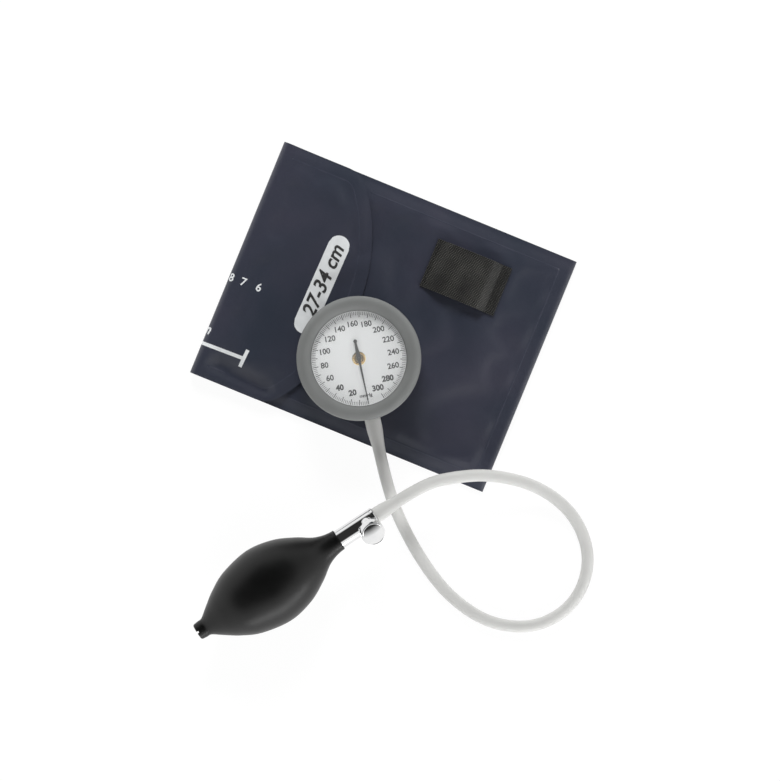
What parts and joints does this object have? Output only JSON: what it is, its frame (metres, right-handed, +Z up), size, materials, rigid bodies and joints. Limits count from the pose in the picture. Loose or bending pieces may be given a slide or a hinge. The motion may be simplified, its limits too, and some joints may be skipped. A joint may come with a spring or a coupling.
{
  "type": "aneroid sphygmomanometer",
  "caption": "Blood pressure set lying stored: a folded arm cuff with a flap, a round dial gauge plugged on it, a looped hose and a hand bulb with a release valve.",
  "frame": {"origin": "centre of the folded cuff's underside", "axes": "+Z up off the underside; +X along the folded cuff's long side, from the flap's fold to the plain fold; +Y along its short side, away from the hose"},
  "size_m": [0.2605, 0.2821, 0.0474],
  "materials": {
    "nylon": "coated nylon, satin",
    "lining": "coated nylon, matt",
    "bladder": "matt film",
    "loop": "brushed loop",
    "hook": "moulded hooks",
    "port": "satin",
    "webbing": "woven elastic",
    "brass": "turned",
    "case": "satin black",
    "bezel": "anodised dark",
    "bumper": "matt moulded",
    "lens": "clear",
    "capsule": "bronze sheet",
    "steel": "polished",
    "dial": "matt white",
    "hand": "matt black",
    "bulb": "satin moulded",
    "chrome": "polished plate",
    "seal": "matt",
    "hose": "satin"
  },
  "bodies": {
    "cuff": {"cuff_outer_shell": "nylon", "cuff_inner_lining": "lining", "air_bladder": "bladder", "loop_patch": "loop", "port_socket": "port", "holding_strap": "webbing"},
    "flap": {"flap_outer_shell": "nylon", "flap_inner_lining": "lining", "hook_patch": "hook"},
    "hand_set": {"gauge_connector": "brass", "gauge_case": "case", "case_lock_nut": "brass", "bezel_ring": "bezel", "bumper": "bumper", "lens": "lens", "capsule": "capsule", "hairspring": "capsule", "movement_bottom_plate": "brass", "movement_bridge": "brass", "movement_pillars": "brass", "mounting_posts": "brass", "dial_plate": "dial", "dial_eyelet": "brass", "bulb": "bulb", "inlet_valve_housing": "chrome", "inlet_guard": "chrome", "valve_body": "chrome", "valve_seat": "brass", "stem_seal_ring": "seal", "gland_nut": "chrome", "outlet_seat": "brass", "filter_screen": "steel", "hose": "hose", "hose_gauge_end": "hose", "hose_valve_end": "hose"},
    "pointer": {"pointer": "hand", "pointer_hub": "brass", "pointer_arbor": "steel"},
    "sector": {"sector_gear": "brass", "sector_arbor": "steel"},
    "rocker": {"rocker_shaft": "steel"},
    "stud": {"lifting_stud": "steel"},
    "release_needle": {"needle_tip": "steel"},
    "release_knob": {"release_stem": "steel", "release_knob": "chrome"},
    "outlet_poppet": {"outlet_poppet": "seal"},
    "inlet_disc": {"inlet_valve_disc": "seal"}
  },
  "joints": [
    {"name": "flap_open", "type": "hinge", "parent": "cuff", "child": "flap", "pos_m": [-0.08715, 0, 0.00435], "axis": [0, -1, 0], "range_deg": [0, 175], "deforming": ["flap_outer_shell", "flap_inner_lining"]},
    {"name": "gauge_unplug", "type": "slide", "parent": "cuff", "child": "hand_set", "axis": [0, 0, 1], "range_m": [0, 0.012]},
    {"name": "pointer_sweep", "type": "hinge", "parent": "hand_set", "child": "pointer", "pos_m": [-0.0036, -0.0278, 0.0362], "axis": [0, 0, -1], "range_deg": [0, 339.6], "deforming": ["hairspring"]},
    {"name": "sector_turn", "type": "hinge", "parent": "hand_set", "child": "sector", "pos_m": [-0.01584, -0.01711, 0.031], "axis": [0, 0, 1], "range_deg": [0, 28.31]},
    {"name": "rocker_turn", "type": "hinge", "parent": "hand_set", "child": "rocker", "pos_m": [-0.00689, -0.03007, 0.0284], "axis": [0.5678, -0.8231, 0], "range_deg": [0, 20.01]},
    {"name": "stud_lift", "type": "slide", "parent": "hand_set", "child": "stud", "axis": [0, 0, 1], "range_m": [0, 0.00141]},
    {"name": "needle_lift", "type": "slide", "parent": "hand_set", "child": "release_needle", "axis": [0.2953, -0.203, 0.9336], "range_m": [0, 0.001]},
    {"name": "release_knob_turn", "type": "hinge", "parent": "release_needle", "child": "release_knob", "pos_m": [0.04191, -0.11645, 0.04331], "axis": [0.2953, -0.203, 0.9336], "range_deg": [0, 720]},
    {"name": "outlet_poppet_lift", "type": "slide", "parent": "hand_set", "child": "outlet_poppet", "axis": [0.5664, 0.8241, 0], "range_m": [0, 0.0012]},
    {"name": "inlet_disc_lift", "type": "slide", "parent": "hand_set", "child": "inlet_disc", "axis": [0.5664, 0.8241, 0], "range_m": [0, 0.0015]}
  ],
  "couplings": [
    {"joint": "sector_turn", "follows": "pointer_sweep", "ratio": 0.083333},
    {"joint": "rocker_turn", "follows": "pointer_sweep", "ratio": 0.058893},
    {"joint": "stud_lift", "follows": "pointer_sweep", "m_per_rad": 0.00023799},
    {"joint": "needle_lift", "follows": "release_knob_turn", "m_per_rad": 0.000079577}
  ]
}
